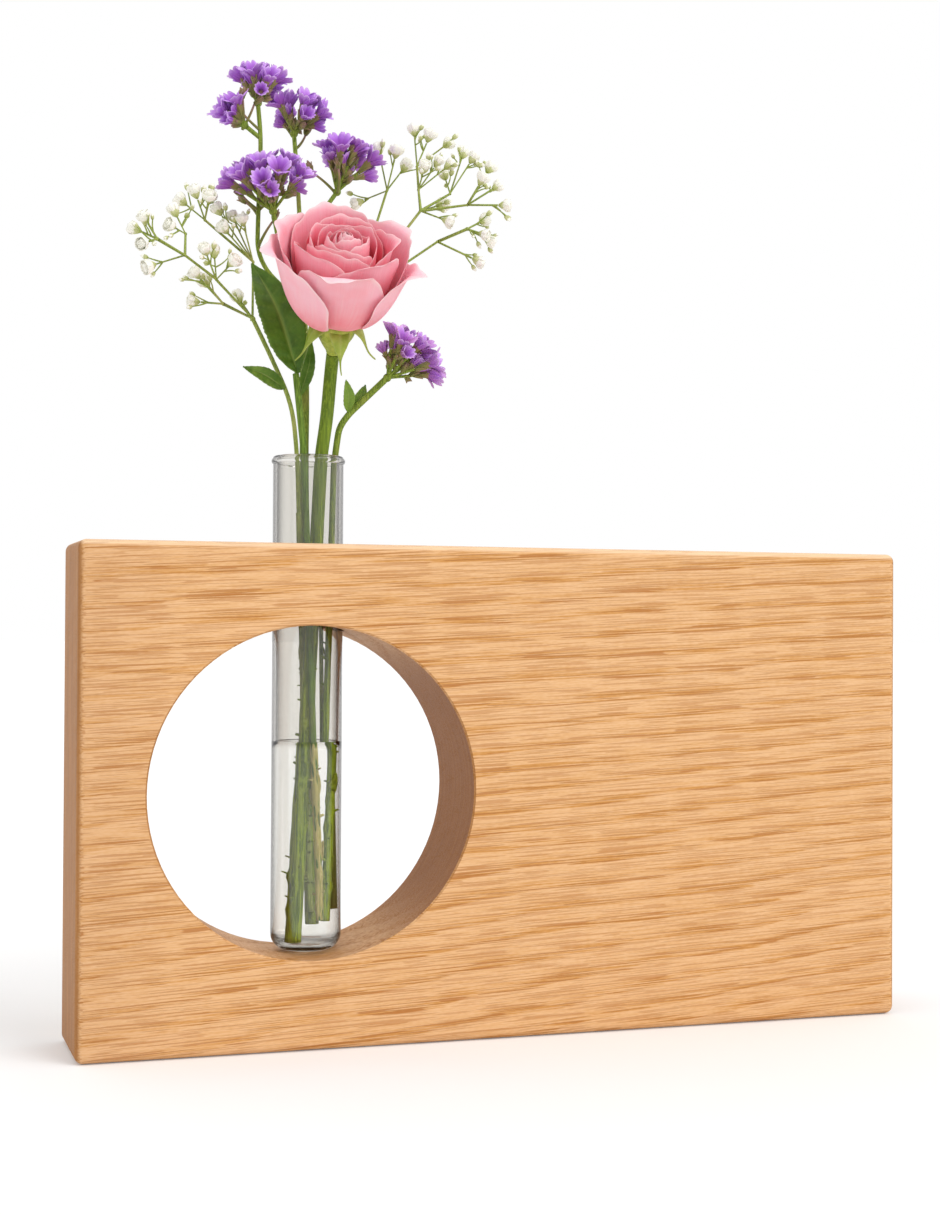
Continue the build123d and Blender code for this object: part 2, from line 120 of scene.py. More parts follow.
# Leaves: light, deep and rib colours
leaf_tones = {
    "sepal_green": ((0.42, 0.5, 0.09), (0.24, 0.34, 0.035), (0.52, 0.56, 0.2)),
    "leaf_dark": ((0.09, 0.19, 0.016), (0.045, 0.105, 0.007), (0.24, 0.34, 0.07)),
    "leaf_fresh": ((0.19, 0.31, 0.04), (0.08, 0.17, 0.015), (0.36, 0.44, 0.13)),
}
leaf_thickness = 0.35
leaf_side_veins = 9
leaf_overlap = 1.2  # a blade starts this far inside its stem

# Statice: throat, body, lobe and streak colours
statice_tones = {
    "statice_lobe": ((0.29, 0.08, 0.34), (0.45, 0.14, 0.69), (0.7, 0.42, 0.98), (0.41, 0.12, 0.64)),
    "statice_pale_lobe": ((0.33, 0.11, 0.39), (0.53, 0.2, 0.75), (0.77, 0.52, 0.98), (0.46, 0.16, 0.68)),
    "statice_mauve_lobe": ((0.34, 0.13, 0.32), (0.5, 0.21, 0.6), (0.66, 0.37, 0.82), (0.44, 0.18, 0.5)),
    "statice_bract": ((0.2, 0.23, 0.05), (0.32, 0.24, 0.1), (0.42, 0.22, 0.22), (0.24, 0.16, 0.07)),
}
small_petal_thickness = 0.14
bract_thickness = 0.16
floret_lobes = 5
bud_low = 212.0
bud_high = 282.0
bud_count = 20
bud_twig_radius = 0.45

# Gypsophila
twig_loss = 0.25
twig_deepest = 2.6
blossom_twig_radius = 0.24

# Rose
petal_count = 21
petal_turn = 137.5
heart_rise = 6.0
hip_drop = 21.0 * math.sin(math.radians(72.0))  # from the bloom's centre down to the hip's rim
hip_rim_radius = 4.6
hip_profile = [(0, 2.0), (0.1, 2.3), (0.3, 3.9), (0.55, 5.6), (0.8, 6.3), (0.93, 6.1), (1, 5.2)]
lip_curl_radius = 2.3
lip_curl_angle = 85.0
petal_thickness = 0.34
tip_reach = 9.0  # a pointed tip may run this far past the lip
petal_tuck = 0.28  # one side of a petal lies over its neighbour, the other under
sepal_count = 5
sepal_turn = 126.0  # one sepal hangs straight to the front
sepal_thickness = 0.45
# Petals: shell number, turn and half-width in degrees, then shares of curl and point, and lift
outer_petals = [
    (15.8, 95, 62, 0.6, 0.0, 2.4),
    (18.4, 22, 58, 0.75, 0.0, 1.0),
    (17.5, 150, 56, 0.8, 0.02, 1.4),
    (18.0, -102, 48, 1.2, 0.0, -0.4),
    (19.4, -26, 46, 0.9, 0.1, -3.4),
    (20.0, -171, 60, 0.8, 0.05, 0.2),
]
middle_petals = [
    (8.0, 25, 76),
    (9.0, 150, 74),
    (10.2, -118, 70),
    (11.2, 75, 70, 1.0, 0.0, 0.4),
    (12.4, -5, 66, 1.0, 0.03),
    (13.6, -150, 64),
    (14.9, -66, 56),
]
inner_petals = [(number, number * petal_turn, 96 - 2 * number) for number in range(8)]
heart_petals = [(-0.25 * n, 60 - n * petal_turn, 105 + 9 * n, 1.0, 0.0, 0.3) for n in range(1, 6)]


# Small helpers for points and directions
def unit(vector):
    vector = np.asarray(vector, float)
    return vector / np.linalg.norm(vector)


def axes_about(axis, spin=0.0):
    """Two sideways directions and the axis, as rows."""
    axis = unit(axis)
    helper = (0, 0, 1) if abs(axis[2]) < 0.9 else (1, 0, 0)
    side = unit(np.cross(helper, axis))
    other = np.cross(axis, side)
    cosine, sine = math.cos(spin), math.sin(spin)
    return np.array((side * cosine + other * sine, other * cosine - side * sine, axis))


def leaning(axis, angle):
    """A direction that leans away from an axis to a random side."""
    side = axes_about(axis, uniform(0, FULL_TURN))[0]
    return unit(unit(axis) * math.cos(angle) + side * math.sin(angle))


def placed(points, origin, axes):
    """Points of a small frame carried to their place."""
    return np.asarray(origin) + points @ axes


def smooth(values, low, high):
    """A soft step from 0 at low to 1 at high."""
    share = np.clip((np.asarray(values, float) - low) / (high - low), 0, 1)
    return share * share * (3 - 2 * share)


def sheet_grid(columns, rows):
    """Shares across a sheet, from -1 to 1, and along it, from 0 to 1."""
    return np.meshgrid(np.linspace(-1, 1, columns), np.linspace(0, 1, rows))


def ring_grid(columns, rows):
    """Angles about a round form and shares along it."""
    return np.meshgrid(np.linspace(0, FULL_TURN, columns, endpoint=False), np.linspace(0, 1, rows))


def layers(values, grid):
    """Three values for each point of a grid; each is one number or a grid of them."""
    return np.stack([np.broadcast_to(value, grid.shape[:2]) for value in values], axis=2)


def turned(radius, angle, height):
    """Points about an upright axis, by distance, angle and height."""
    return layers((radius * np.cos(angle), radius * np.sin(angle), height), angle)


def about(angle, sides):
    """Directions around a line, by angle."""
    return np.cos(angle)[..., None] * sides[0] + np.sin(angle)[..., None] * sides[1]


def with_ends(grid):
    """A grid of rings in one list, and then the middles of its first and last rings."""
    return np.concatenate((grid.reshape(-1, 3), (grid[0].mean(axis=0), grid[-1].mean(axis=0))))


# Meshes
def put(name, data):
    """A new object in the scene."""
    made = bpy.data.objects.new(name, data)
    bpy.context.scene.collection.objects.link(made)
    return made


def grid_faces(here, after):
    """The quads between columns of point numbers and the columns after them."""
    quads = np.stack((here[:-1], after[:-1], after[1:], here[1:]), axis=2)
    return [tuple(quad) for quad in quads.reshape(-1, 4).tolist()]


def rim_edges(index):
    """The border of a grid, in the direction that its quads run."""
    low, high, left, right = index[0], index[-1], index[:, 0], index[:, -1]
    runs = ((low[:-1], low[1:]), (high[1:], high[:-1]), (right[:-1], right[1:]), (left[1:], left[:-1]))
    return [(int(p), int(q)) for first, second in runs for p, q in zip(first, second)]


class Shape:
    """Collects the points, faces, tints and material numbers of one closed mesh."""

    def __init__(self):
        self.points, self.tints, self.places, self.faces, self.parts = [], [], [], [], []

    def add(self, points, tint, place, faces, part):
        first = len(self.points)
        self.points.extend(points.tolist())
        self.tints.extend(tint.tolist())
        self.places.extend(place.tolist())
        self.faces.extend([tuple(first + corner for corner in face) for face in faces])
        self.parts.extend([part] * len(faces))

    def sheet(self, points, tint, thickness, parts=(0, 0), reach=1.0):
        """A thin sheet through a grid of points, with both its sides and its rim; it may taper."""
        rows, columns = points.shape[:2]
        count = rows * columns
        normal = np.cross(np.gradient(points, axis=1), np.gradient(points, axis=0))
        normal /= np.maximum(np.linalg.norm(normal, axis=2, keepdims=True), 1e-9)
        half = normal * np.broadcast_to(thickness, (rows, columns))[..., None] / 2
        index = np.arange(count).reshape(rows, columns)
        front = grid_faces(index[:, :-1], index[:, 1:])
        back = [tuple(count + corner for corner in reversed(face)) for face in front]
        rim = [(q, p, p + count, q + count) for p, q in rim_edges(index)]
        both = np.concatenate(((points + half).reshape(-1, 3), (points - half).reshape(-1, 3)))
        across, along = sheet_grid(columns, rows)
        marks = ((*tint, 0.0), (across * 0.5 + 0.5, along * reach, rng.random()))
        tints, places = (np.tile(layers(mark, points).reshape(-1, 3), (2, 1)) for mark in marks)
        first = len(self.faces) + len(front)
        self.add(both, tints, places, front + back + rim, parts[0])
        self.parts[first : first + len(back)] = [parts[1]] * len(back)

    def lathe(self, rings, rib=0.0, chance=0.0, part=0):
        """A closed form through rings of points, with a point at each end."""
        rows, columns = rings.shape[:2]
        index = np.arange(rows * columns).reshape(rows, columns)
        faces = grid_faces(index, np.roll(index, -1, axis=1))
        low, high = rows * columns, rows * columns + 1
        for column in range(columns):
            after = (column + 1) % columns
            faces.append((low, index[0, after], index[0, column]))
            faces.append((high, index[-1, column], index[-1, after]))
        _, share = ring_grid(columns, rows)
        grids = (rings, layers((rib, 0.0, 0.0), rings), layers((0.0, share, chance), rings))
        self.add(*(with_ends(grid) for grid in grids), faces, part)

    def carry(self, origin, axes):
        """Takes what is made so far from a small frame to its place."""
        self.points = placed(np.array(self.points), origin, axes).tolist()

    def piece(self, name, materials, replaced=(), body="bouquet", levels=0):
        """Makes the object, which rides on its body and takes the place of its nodes."""
        mesh = bpy.data.meshes.new(name)
        mesh.from_pydata((np.array(self.points) / METRE).tolist(), [], self.faces)
        for label, values in (("tint", self.tints), ("place", self.places)):
            attribute = mesh.attributes.new(label, "FLOAT_COLOR", "POINT")
            colours = np.concatenate((np.array(values), np.ones((len(values), 1))), axis=1)
            attribute.data.foreach_set("color", colours.ravel())
        for material in materials:
            mesh.materials.append(material)
        mesh.polygons.foreach_set("material_index", self.parts)
        mesh.polygons.foreach_set("use_smooth", [True] * len(self.faces))
        mesh.update()
        made = put(name, mesh)
        if levels:
            rounding = made.modifiers.new("rounding", "SUBSURF")
            rounding.levels = levels
            rounding.render_levels = levels
        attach(made, body)
        if replaced:
            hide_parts(*replaced)


# Reading the CAD nodes
def box_mm(node):
    """The low and high corners of a node's box, in millimetres."""
    return [np.array(corner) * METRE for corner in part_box(node)]


def node_arrays(node):
    """A CAD node's points in millimetres and its triangles."""
    mesh = nodes[node].data
    points = np.empty(len(mesh.vertices) * 3)
    mesh.vertices.foreach_get("co", points)
    mesh.calc_loop_triangles()
    triangles = np.empty(len(mesh.loop_triangles) * 3, dtype=np.int64)
    mesh.loop_triangles.foreach_get("vertices", triangles)
    return points.reshape(-1, 3) * METRE, triangles.reshape(-1, 3)


def islands(triangles, count):
    """A number for each point, shared by all points that triangles join."""
    labels = np.arange(count)
    while True:
        before = labels.copy()
        least = labels[triangles].min(axis=1)
        for corner in triangles.T:
            np.minimum.at(labels, corner, least)
        labels = labels[labels]
        if (labels == before).all():
            return labels


def triangle_ways(corners):
    """The direction that each triangle faces, as long as twice its area."""
    return np.cross(corners[:, 1] - corners[:, 0], corners[:, 2] - corners[:, 0])


def discs(node, widest):
    """Centres and outward directions of a node's flat round faces up to a radius."""
    points, triangles = node_arrays(node)
    labels = islands(triangles, len(points))[triangles[:, 0]]
    found = []
    for label in np.unique(labels):
        corners = points[triangles[labels == label]]
        ways = triangle_ways(corners)
        facing = ways.sum(axis=0)
        flatness = np.linalg.norm(facing) / np.linalg.norm(ways, axis=1).sum()
        ring = np.unique(corners.reshape(-1, 3).round(5), axis=0)
        centre = (ring.min(axis=0) + ring.max(axis=0)) / 2
        if flatness > flat_enough and np.linalg.norm(ring - centre, axis=1).max() < widest:
            found.append((centre, unit(facing)))
    return found


def disc_height(disc):
    return disc[0][2]


def solids(node):
    """The points of each separate solid of a node."""
    points, triangles = node_arrays(node)
    _, welded = np.unique(points.round(4), axis=0, return_inverse=True)
    welded = welded.ravel()
    labels = islands(welded[triangles], welded.max() + 1)[welded]
    return [points[labels == label] for label in np.unique(labels)]


# Materials
class Value:
    """A node's output, which adds and multiplies like a number."""

    def __init__(self, tree, socket):
        self.tree = tree
        self.socket = socket

    def __add__(self, other):
        return self.tree.math("ADD", self, other)

    def __sub__(self, other):
        return self.tree.math("SUBTRACT", self, other)

    def __mul__(self, other):
        return self.tree.math("MULTIPLY", self, other)


class Tree:
    """Short calls for building a node tree."""

    def __init__(self, tree):
        self.tree = tree
        tree.nodes.clear()

    def feed(self, socket, value):
        """Links a value, or sets a number, a vector or a colour."""
        if isinstance(value, Value):
            self.tree.links.new(value.socket, socket)
        else:
            socket.default_value = (*value, 1.0) if socket.type == "RGBA" else value

    def node(self, kind, *values, **settings):
        """A node with its settings, and its first sockets fed in order."""
        made = self.tree.nodes.new("ShaderNode" + kind)
        for label, value in settings.items():
            setattr(made, label, value)
        for socket, value in zip(made.inputs, values):
            self.feed(socket, value)
        return made

    def get(self, kind, *values, output=0, **settings):
        """One output of a new node."""
        return Value(self, self.node(kind, *values, **settings).outputs[output])

    def split(self, kind, value):
        """All outputs of a new node that takes a vector or a colour apart."""
        return [Value(self, socket) for socket in self.node(kind, value).outputs]

    def math(self, operation, first, second=0.0):
        return self.get("Math", first, second, operation=operation)

    def seen(self):
        """1 where the camera, a reflection or clear material looks."""
        share = self.get("LightPath", output="Is Camera Ray")
        for label in ("Is Glossy Ray", "Is Transmission Ray"):
            share = self.math("MAXIMUM", share, self.get("LightPath", output=label))
        return share


class Shader(Tree):
    """Short calls for building one material."""

    def __init__(self, name):
        self.material = bpy.data.materials.new(name)
        self.material.use_nodes = True
        super().__init__(self.material.node_tree)
        self.surface = self.node("BsdfPrincipled")
        self.output = self.node("OutputMaterial", Value(self, self.surface.outputs["BSDF"]))

    def set(self, **values):
        """Feeds the surface's sockets, named in small letters with underscores."""
        for label, value in values.items():
            socket = next(s for s in self.surface.inputs if s.name.lower().replace(" ", "_") == label)
            self.feed(socket, value)

    def mix(self, share, first, second, blend="MIX"):
        made = self.node("Mix", share, data_type="RGBA", blend_type=blend)
        for socket, value in zip(made.inputs[6:8], (first, second)):
            self.feed(socket, value)
        return Value(self, made.outputs[2])

    def lay(self, share, colour, blend="MIX"):
        """Lays a colour over what is painted so far."""
        self.colour = self.mix(share, self.colour, colour, blend)

    def step(self, value, low, high, start=0.0, end=1.0):
        return self.get("MapRange", value, low, high, start, end, interpolation_type="SMOOTHSTEP")

    def places(self):
        """The object's own coordinates in millimetres."""
        made = self.node("VectorMath", self.get("TexCoord", output="Object"), operation="SCALE")
        made.inputs["Scale"].default_value = METRE
        return Value(self, made.outputs[0])

    def noise(self, vector, sizes, detail=2.0, roughness=0.5):
        """Noise whose features are about as large as the given sizes."""
        scaled = self.get("VectorMath", vector, [1 / size for size in sizes], operation="MULTIPLY")
        made = self.node("TexNoise", scaled)
        made.inputs["Scale"].default_value = 1.0
        made.inputs["Detail"].default_value = detail
        made.inputs["Roughness"].default_value = roughness
        return Value(self, made.outputs["Fac"])

    def ramp(self, value, stops):
        """A soft scale of grey levels or colours, as (position, colour)."""
        made = self.node("ValToRGB", value)
        band = made.color_ramp
        while len(band.elements) < len(stops):
            band.elements.new(0.5)
        for element, (position, colour) in zip(band.elements, stops):
            element.position = position
            element.color = (*colour, 1.0) if isinstance(colour, tuple) else (colour, colour, colour, 1.0)
        return Value(self, made.outputs[0])

    def attribute(self, label):
        """The three values of a mesh's own attribute."""
        return self.split("SeparateColor", self.get("Attribute", output="Color", attribute_name=label))

    def finish(self, height, distance, **values):
        """Sets the painted colour, a bump and other values, and gives the material."""
        bump = self.node("Bump")
        bump.inputs["Strength"].default_value = 1.0
        bump.inputs["Distance"].default_value = distance / METRE
        self.feed(bump.inputs["Height"], height)
        self.set(base_color=self.colour, normal=Value(self, bump.outputs[0]), **values)
        return self.material


def growth_bands(made, place, grain):
    """Growth bands that end in feathered strokes, fainter at the board's left end."""
    x, y, z = made.split("SeparateXYZ", place)
    tilt = x * (z * 0.0007 - 0.15) + y * 0.45  # the bands climb to the right, most near the foot
    waves = (made.noise(place, (90, 45, 40)) - 0.5) * 14.0
    feather = (made.noise(grain, (34, 1.2, 0.7), 1.0, 0.6) - 0.5) * 2.2
    ring = z + tilt + (waves + feather)
    phase = made.math("FRACT", ring * (1 / band_pitch))
    band = made.ramp(phase, [(0.0, 0.0), (0.05, 0.9), (0.25, 0.8), (0.45, 0.3), (0.75, 0.08), (1.0, 0.0)])
    return band * made.step(x, *band_fade, 1.0, 0.65)


def lay_end_grain_and_painted_light(made, place):
    """Lays on a painted highlight along the top arris, streaked end grain that is partly painted shade,
    and painted shade inside the cut-out.
    """
    x, _, z = made.split("SeparateXYZ", place)
    across, deep, up = made.split("SeparateXYZ", made.get("TexCoord", output="Normal"))
    # Painted highlight: the rounded top arris is lightened where light catches it.
    painted_arris_highlight = made.step(up, 0.25, 0.6) * made.step(up, 0.998, 0.96)
    painted_arris_highlight = painted_arris_highlight * made.step(z, board_height - 3, board_height - 2)
    made.lay(painted_arris_highlight * 0.58, (1.0, 0.74, 0.49))
    end = made.step(made.math("ABSOLUTE", across), 0.35, 0.85)
    # Painted shade: the walls inside the cut-out are darkened further, as if less light got into the
    # recess.
    inside = made.step(made.math("ABSOLUTE", x), board_half_width - 1, board_half_width - 3)
    inside = inside * made.step(z, board_height - 1, board_height - 3)
    inside = inside * made.step(made.math("ABSOLUTE", deep), 0.6, 0.2)
    streak = made.noise(place, (9, 1.0, 34), 3.0, 0.6)
    tones = [(0.3, (0.3, 0.118, 0.029)), (0.55, (0.41, 0.172, 0.045)), (0.75, (0.5, 0.225, 0.067))]
    # The end grain's dark tones are partly the oak's own and partly painted shade, darker than the wood
    # is, for the dim light on the ends.
    made.lay(end * 0.92, made.ramp(streak, tones))
    # Painted shade inside the cut-out.
    made.lay(inside * (end * 0.35 + 0.2), (0.29, 0.1, 0.024))


def oak_material():
    """Oiled oak: growth bands combed into strokes, dark pore lines and streaked end grain, with painted
    shade at its left end and in its cut-out and a painted highlight on its top arris.
    """
    made = Shader("oak")
    place = made.places()
    x, y, z = made.split("SeparateXYZ", place)
    grain = made.get("CombineXYZ", x, y, x * -0.05 + z)
    band = growth_bands(made, place, grain)
    dashes = made.step(made.noise(grain, (24, 0.6, 0.4), 0.0), 0.44, 0.58)
    fibre = made.noise(grain, (11, 0.5, 0.36), 0.0)
    fleck = made.noise(grain, (1.8, 0.5, 0.42), 0.0)
    cloud = made.noise(place, (80, 24, 12))
    depth = band * (dashes * 0.5 + 0.1) + (fibre - 0.36) * 0.42
    depth = depth + (fleck - 0.4) * 0.34 + (cloud - 0.5) * 0.18
    light, middle = (0.82, 0.497, 0.255), (0.745, 0.416, 0.18)
    dark, darkest = (0.635, 0.302, 0.088), (0.5, 0.208, 0.05)
    made.colour = made.ramp(depth, [(0.0, light), (0.26, middle), (0.6, dark), (1.0, darkest)])
    lines = made.step(made.noise(grain, (26, 0.6, 0.42), 0.0), 0.6, 0.63)
    lines = lines * (band * 0.5 + made.step(x, *pore_fade, 0.42, 0.6))
    fine = made.step(made.noise(grain, (13, 0.45, 0.38), 0.0), 0.61, 0.65)
    pores = made.math("MAXIMUM", lines, fine * 0.45)
    made.lay(pores * 0.8, (0.45, 0.17, 0.042))
    # Painted shade: the left end is darkened as if less light reached it.
    made.lay(made.step(x, *painted_shade_fade), (0.93, 0.92, 0.93), "MULTIPLY")
    lay_end_grain_and_painted_light(made, place)
    roughness = pores * 0.15 + (fibre * 0.2 + 0.42)
    return made.finish(fibre * 0.3 - pores, 0.06, roughness=roughness, specular_ior_level=0.2)


def make_clear(made, tone, density):
    """Lets lamps through a clear material, so what it holds is lit, and tints it by depth."""
    shadow = made.get("LightPath", output="Is Shadow Ray")
    surface = Value(made, made.surface.outputs["BSDF"])
    chosen = made.get("MixShader", shadow, surface, made.get("BsdfTransparent"))
    made.feed(made.output.inputs["Surface"], chosen)
    made.feed(made.output.inputs["Volume"], made.get("VolumeAbsorption", tone, density))


def glass_material():
    """Clear laboratory glass, greyer above the water, with painted dark edges where it is seen edge on
    that stand in for dark surroundings reflected in it.
    """
    made = Shader("tube_glass")
    place = made.places()
    smear = made.noise(place, (14, 14, 40), 3.0)
    _, _, z = made.split("SeparateXYZ", place)
    facing = made.get("LayerWeight", output="Facing")
    dry = made.step(z, water_level - 1, water_level + 1)
    clear = made.mix(dry, (0.95, 0.945, 0.92), (0.86, 0.845, 0.81))
    # Painted reflection: the glass is darkened where it is seen edge on, as if dark surroundings showed in
    # it.
    edge = made.step(facing, 0.24, 0.74) * made.step(z, *glass_fade, 0.4, 1.0)
    made.set(base_color=made.mix(edge, clear, (0.07, 0.065, 0.065)))
    made.set(transmission_weight=1.0, ior=glass_ior, roughness=made.step(smear, 0.45, 0.8, 0.0, 0.03))
    make_clear(made, (0.57, 0.55, 0.52), glass_density)
    return made.material


def water_material():
    """Water, faintly olive from the cut stems."""
    made = Shader("water")
    made.set(base_color=(1, 1, 1), transmission_weight=1.0, ior=water_ior, roughness=0.0)
    make_clear(made, (0.72, 0.74, 0.66), water_density)
    return made.material


def stem_material(name, light, deep, knot, streak_size, shine):
    """A fresh stem: lengthwise streaks, patches of a second colour and small pale lenticels."""
    made = Shader(name)
    place = made.places()
    streak = made.noise(place, (streak_size, streak_size, streak_size * 22), 3.0, 0.6)
    patch = made.noise(place, (9, 9, 14), 3.0)
    speck = made.step(made.noise(place, (0.5, 0.5, 1.0), 1.0), 0.66, 0.74)
    made.colour = made.mix(made.step(streak, 0.32, 0.68), deep, light)
    made.lay(made.step(patch, 0.52, 0.75) * 0.55, knot)
    made.lay(speck * 0.4, [min(1.0, part * 1.8) for part in light])
    made.set(specular_ior_level=0.25, roughness=patch * 0.25 + shine)
    made.set(subsurface_weight=0.08, subsurface_radius=(0.6, 1.0, 0.2), subsurface_scale=0.001)
    return made.finish(streak * 0.8 + speck * 0.5, 0.16)


def petal_material(name, deep, body, pale, lip):
    """A rose petal, from its deep base to its pale lip, with fine veins that fan out along it; the deep
    base is painted shade and glow of the crevices between petals.
    """
    made = Shader(name)
    across, along, chance = made.attribute("place")
    outward, edge, _ = made.attribute("tint")
    veins = made.get("CombineXYZ", across * 46.0, along * 2.2, chance * 40.0)
    vein = made.noise(veins, (1, 1, 1), 3.0, 0.6)
    cloud = made.noise(made.places(), (7, 7, 7), 3.0)
    # Painted shade and glow: the petal's base, down in the crevices, is deepened to a saturated red.
    made.colour = made.mix(made.step(along, 0.45, 0.97), deep, body)
    far = made.step(outward, 0.55, 1.0) * made.step(along, 0.15, 0.75, 0.45, 1.0)
    made.lay(far, pale)
    made.lay(made.step(along, 0.7, 1.0) * 0.16, lip)
    made.lay(made.step(vein, 0.42, 0.75) * 0.16, lip)
    made.lay(made.step(cloud, 0.4, 0.75) * 0.22, deep)
    made.lay(edge * 0.6, lip)
    made.set(roughness=vein * 0.2 + 0.42, specular_ior_level=0.12)
    made.set(sheen_weight=0.2, sheen_roughness=0.55, sheen_tint=(1.0, 0.3, 0.4))
    made.set(subsurface_weight=0.1, subsurface_radius=(1.0, 0.3, 0.32), subsurface_scale=0.0015)
    return made.finish(vein + cloud * 0.4, 0.1)


def leaf_material(name, light, deep, rib):
    """A waxy leaf with a pale midrib, side veins and a mottled blade."""
    made = Shader(name)
    _, _, chance = made.attribute("place")
    vein, edge, _ = made.attribute("tint")
    cloud = made.noise(made.places(), (4, 4, 4), 4.0, 0.6)
    fine = made.noise(made.places(), (0.6, 0.6, 0.6))
    made.colour = made.mix(made.step(cloud + chance * 0.2, 0.35, 0.8), deep, light)
    made.lay(vein * 0.7, rib)
    made.lay(edge * 0.35, rib)
    made.set(specular_ior_level=0.25, roughness=cloud * 0.3 + 0.3)
    made.set(subsurface_weight=0.06, subsurface_radius=(0.5, 1.0, 0.2), subsurface_scale=0.001)
    return made.finish(fine * 0.4 + vein * 0.6, 0.12)


def floret_material(name, throat, body, lobe, streak):
    """A papery funnel: dark in its throat, ribbed by veins, pale along its crinkled lobes."""
    made = Shader(name)
    _, along, chance = made.attribute("place")
    rib, edge, _ = made.attribute("tint")
    cloud = made.noise(made.places(), (1.6, 1.6, 1.6), 4.0, 0.65)
    made.colour = made.mix(made.step(along, 0.3, 0.8), throat, body)
    made.lay(made.step(along, 0.62, 1.0) * 0.8, lobe)
    made.lay(made.step(cloud, 0.35, 0.8) * 0.5, streak)
    made.lay(rib * 0.45, throat)
    made.lay(edge * 0.35, [min(1.0, 1.25 * part + 0.08) for part in lobe])
    made.lay(chance * 0.3, streak)
    made.set(roughness=0.62, specular_ior_level=0.2, sheen_weight=0.15)
    return made.finish(cloud + rib * 0.8, 0.14)


def blossom_material(name, base, body, edge_tone):
    """Small cream petals, greener towards their base, with soft creases."""
    made = Shader(name)
    _, along, _ = made.attribute("place")
    crease, _, _ = made.attribute("tint")
    cloud = made.noise(made.places(), (1.2, 1.2, 1.2), 3.0)
    made.colour = made.mix(made.step(along, 0.05, 0.55), base, body)
    made.lay(made.step(cloud, 0.45, 0.8) * 0.4, edge_tone)
    made.lay(crease * 0.25, base)
    return made.finish(cloud + crease, 0.04, roughness=0.6, specular_ior_level=0.15)


# Stage
def make_camera():
    yaw, pitch, roll = (math.radians(angle) for angle in camera_turn)
    turn = Matrix.Rotation(yaw, 3, "Z") @ Matrix.Rotation(pitch, 3, "X") @ Matrix.Rotation(roll, 3, "Y")
    right, forward, up = turn.col
    placing = Matrix((right, up, -forward)).transposed().to_4x4()
    placing.translation = camera_place
    lens = bpy.data.cameras.new("camera")
    lens.sensor_width = sensor_mm
    lens.lens = focal_px * sensor_mm / image_height_px
    camera = put("camera", lens)
    camera.matrix_world = placing
    bpy.context.scene.camera = camera


def make_sky():
    """An even white sky, brighter where it is seen than as a light."""
    world = bpy.data.worlds.new("studio")
    world.use_nodes = True
    tree = Tree(world.node_tree)
    lighting, shown = (tree.get("Background", (1, 1, 1), level) for level in (sky_level, 1.0))
    tree.node("OutputWorld", tree.get("MixShader", tree.seen(), lighting, shown))
    bpy.context.scene.world = world


def make_sun():
    lamp = bpy.data.lights.new("soft_sun", "SUN")
    lamp.energy = sun_strength
    lamp.angle = sun_angle
    sun = put("soft_sun", lamp)
    sun.rotation_euler = Vector(sun_from).to_track_quat("Z", "Y").to_euler()


def make_floor():
    signs = ((-1, -1), (1, -1), (1, 1), (-1, 1))
    mesh = bpy.data.meshes.new("floor")
    corners = [(floor_reach * x, floor_reach * y, -floor_drop) for x, y in signs]
    mesh.from_pydata(corners, [], [(0, 1, 2, 3)])
    made = Shader("pale_floor")
    made.set(base_color=[floor_tone] * 3, roughness=1.0, specular_ior_level=0.0)
    made.set(emission_color=(1, 1, 1), emission_strength=made.seen() * floor_glow)
    mesh.materials.append(made.material)
    floor = put("floor", mesh)


def dress(node, material):
    """Gives a kept CAD node its material."""
    materials = nodes[node].data.materials
    materials.clear()
    materials.append(material)


# Water
def make_water():
    """The water that fills the lower tube, with its surface drawn up along the glass."""
    low, high = box_mm("test_tube")
    outside = min(discs("test_tube", METRE), key=disc_height)[0]
    radius = tube_width / 2 - tube_wall + water_overlap
    corner = tube_corner - tube_wall + water_overlap
    flat = radius - corner
    floor = low[2] + tube_floor - water_overlap
    wall = water_level + meniscus_rise - floor - corner
    profile = [(share * flat, floor) for share in (0.2, 0.5, 0.8)]
    for turn in np.linspace(-math.pi / 2, 0, 10):
        profile.append((flat + corner * math.cos(turn), floor + corner + corner * math.sin(turn)))
    profile += [(radius, floor + corner + wall * share) for share in np.linspace(0.05, 1, 20)]
    for reach in np.linspace(0.05, 1, 14):
        fall = (1 - reach) ** 2.2
        profile.append((radius - reach * meniscus_reach, water_level + meniscus_rise * fall))
    profile += [(share * (radius - meniscus_reach), water_level) for share in (0.75, 0.45, 0.2)]
    radii, heights = np.array(profile).T
    angle, _ = ring_grid(water_sides, len(profile))
    rings = turned(radii[:, None], angle, heights[:, None]) + (outside[0], (low + high)[1] / 2, 0.0)
    shape = Shape()
    shape.lathe(rings)
    shape.piece("water", [water_material()], body="tube")


# Rose
def bloom_frame():
    """The rose's centre and its directions, from the top of its stem and its heart."""
    hip, axis = max(discs("rose_stem", neck_widest), key=disc_height)
    low, high = box_mm("rose_heart")
    centre = (low + high) / 2 - heart_rise * axis
    side = unit(np.array((1.0, 0, 0)) - axis * axis[0])
    return hip, centre, np.array((side, np.cross(axis, side), axis))


